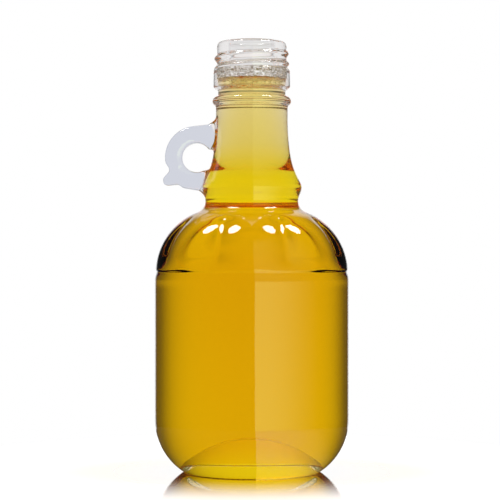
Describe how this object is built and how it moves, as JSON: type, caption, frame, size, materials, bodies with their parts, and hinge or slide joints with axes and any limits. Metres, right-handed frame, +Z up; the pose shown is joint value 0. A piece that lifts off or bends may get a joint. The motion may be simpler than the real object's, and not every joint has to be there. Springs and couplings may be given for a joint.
{
  "type": "syrup bottle",
  "caption": "Clear glass jug bottle of golden syrup with a round body, fluted shoulder, tapering neck, finger loop and an open screw neck.",
  "frame": {"origin": "centre of the foot, on the plane the bottle stands on", "axes": "+Z up along the bottle's axis, -X towards the finger loop, -Y the front"},
  "size_m": [0.07, 0.07, 0.1551],
  "materials": {
    "bottle_glass": "clear fire-polished container glass",
    "golden_syrup": "clear golden liquid"
  },
  "bodies": {
    "root": {"bottle": "bottle_glass", "syrup": "golden_syrup"}
  },
  "joints": []
}
